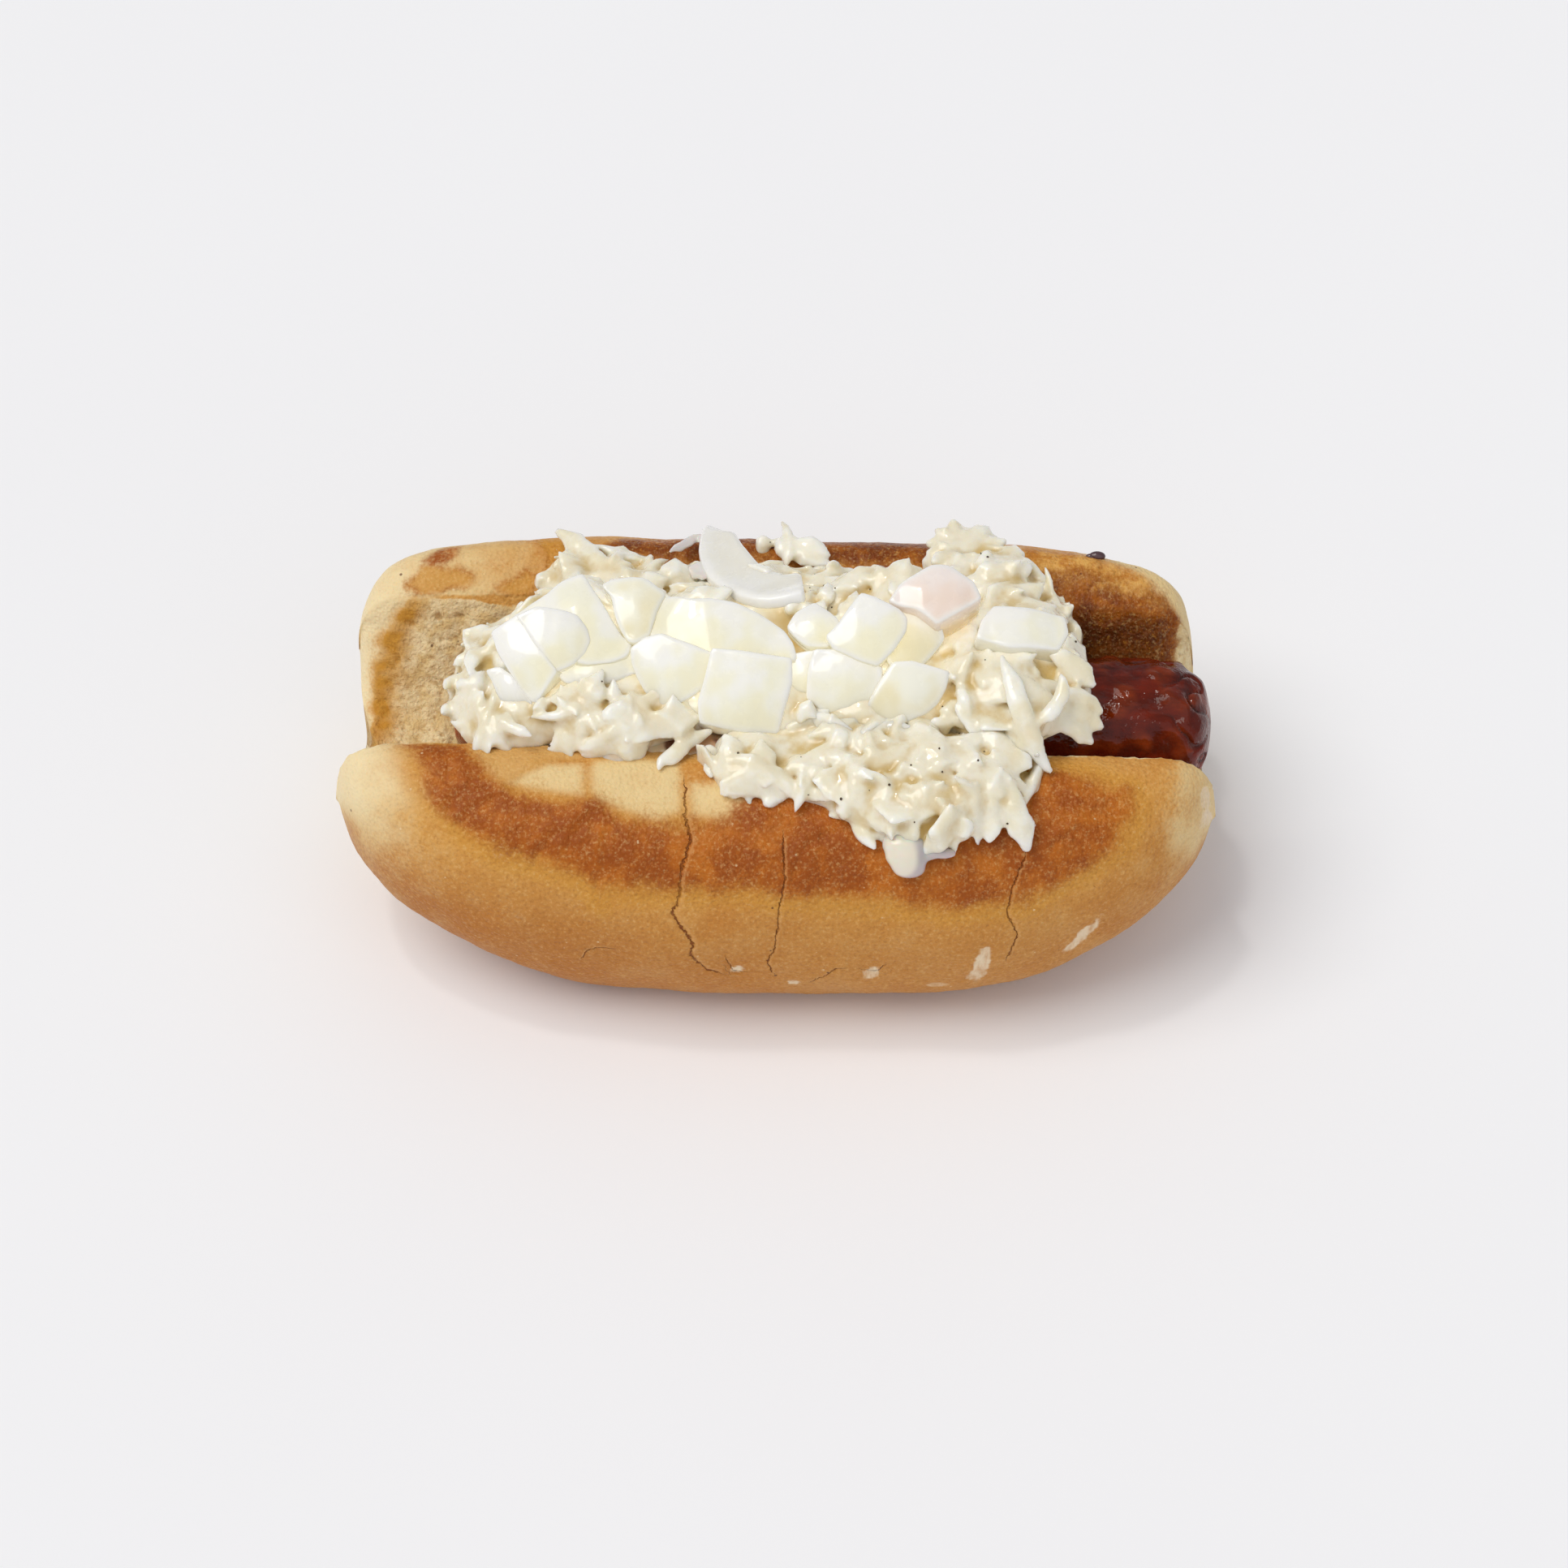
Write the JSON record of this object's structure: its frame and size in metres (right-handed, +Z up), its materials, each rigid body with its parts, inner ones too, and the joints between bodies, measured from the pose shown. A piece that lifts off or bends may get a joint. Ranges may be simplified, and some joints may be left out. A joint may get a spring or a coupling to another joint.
{
  "type": "hot dog",
  "caption": "Hot dog: a grilled sausage in an opened soft bun, heaped with creamy cabbage slaw that spills over the near side, and topped with coarsely diced onion",
  "frame": {"origin": "the middle of the flat spot under the bun, on the surface it rests on", "axes": "+X along the bun towards the end where the sausage shows, +Y from the near half of the bun to the far half, +Z up"},
  "size_m": [0.153, 0.0839, 0.0642],
  "materials": {
    "bun": "baked golden-brown crust with darker toasted zones and pale crumb; matte_plastic stands in for bread",
    "sausage": "glossy, grilled, wrinkled dark red-brown skin; gloss_plastic stands in for meat",
    "slaw": "off-white shredded cabbage coated in creamy dressing; gloss_plastic stands in for it",
    "onion": "moist translucent white onion; gloss_plastic stands in for it"
  },
  "bodies": {
    "root": {"bun": "bun", "sausage": "sausage", "slaw": "slaw", "slaw_bit": "slaw", "onion_01": "onion", "onion_02": "onion", "onion_03": "onion", "onion_04": "onion", "onion_05": "onion", "onion_06": "onion", "onion_07": "onion", "onion_08": "onion", "onion_09": "onion", "onion_10": "onion", "onion_11": "onion", "onion_12": "onion", "onion_13": "onion", "onion_14": "onion", "onion_15": "onion", "onion_16": "onion", "onion_17": "onion", "onion_18": "onion"}
  },
  "joints": []
}
